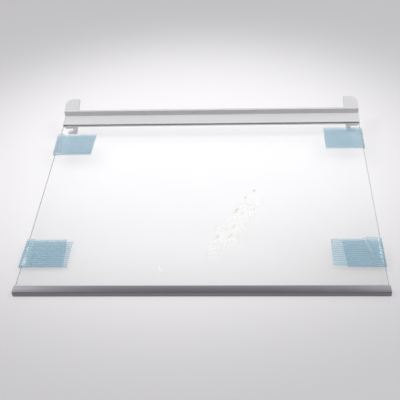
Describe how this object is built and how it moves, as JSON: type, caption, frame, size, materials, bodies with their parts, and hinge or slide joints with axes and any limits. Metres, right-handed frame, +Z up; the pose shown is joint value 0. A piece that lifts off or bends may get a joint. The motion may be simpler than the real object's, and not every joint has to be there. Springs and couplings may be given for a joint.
{
  "type": "fridge glass shelf",
  "caption": "Clear toughened glass fridge shelf with a silver front trim, a grey rear trim with upright lip, tongues and hooks, and blue transit tapes round its side edges.",
  "frame": {"origin": "middle of the pane's top face", "axes": "+X along the trims to the right as seen from the front, +Y towards the back of the fridge, +Z up out of the pane's top face"},
  "size_m": [0.4808, 0.4008, 0.0474],
  "materials": {
    "clear_glass": "clear toughened float glass with ground edges",
    "silver_trim": "satin silver-grey lacquer on moulded plastic",
    "grey_trim": "light grey moulded plastic, fine matte",
    "blue_tape": "thin light blue film with lengthwise filaments"
  },
  "bodies": {
    "root": {"glass_pane": "clear_glass", "front_trim": "silver_trim", "rear_trim": "grey_trim", "tape_front_left": "blue_tape", "tape_front_right": "blue_tape", "tape_rear_left": "blue_tape", "tape_rear_right": "blue_tape"}
  },
  "joints": []
}
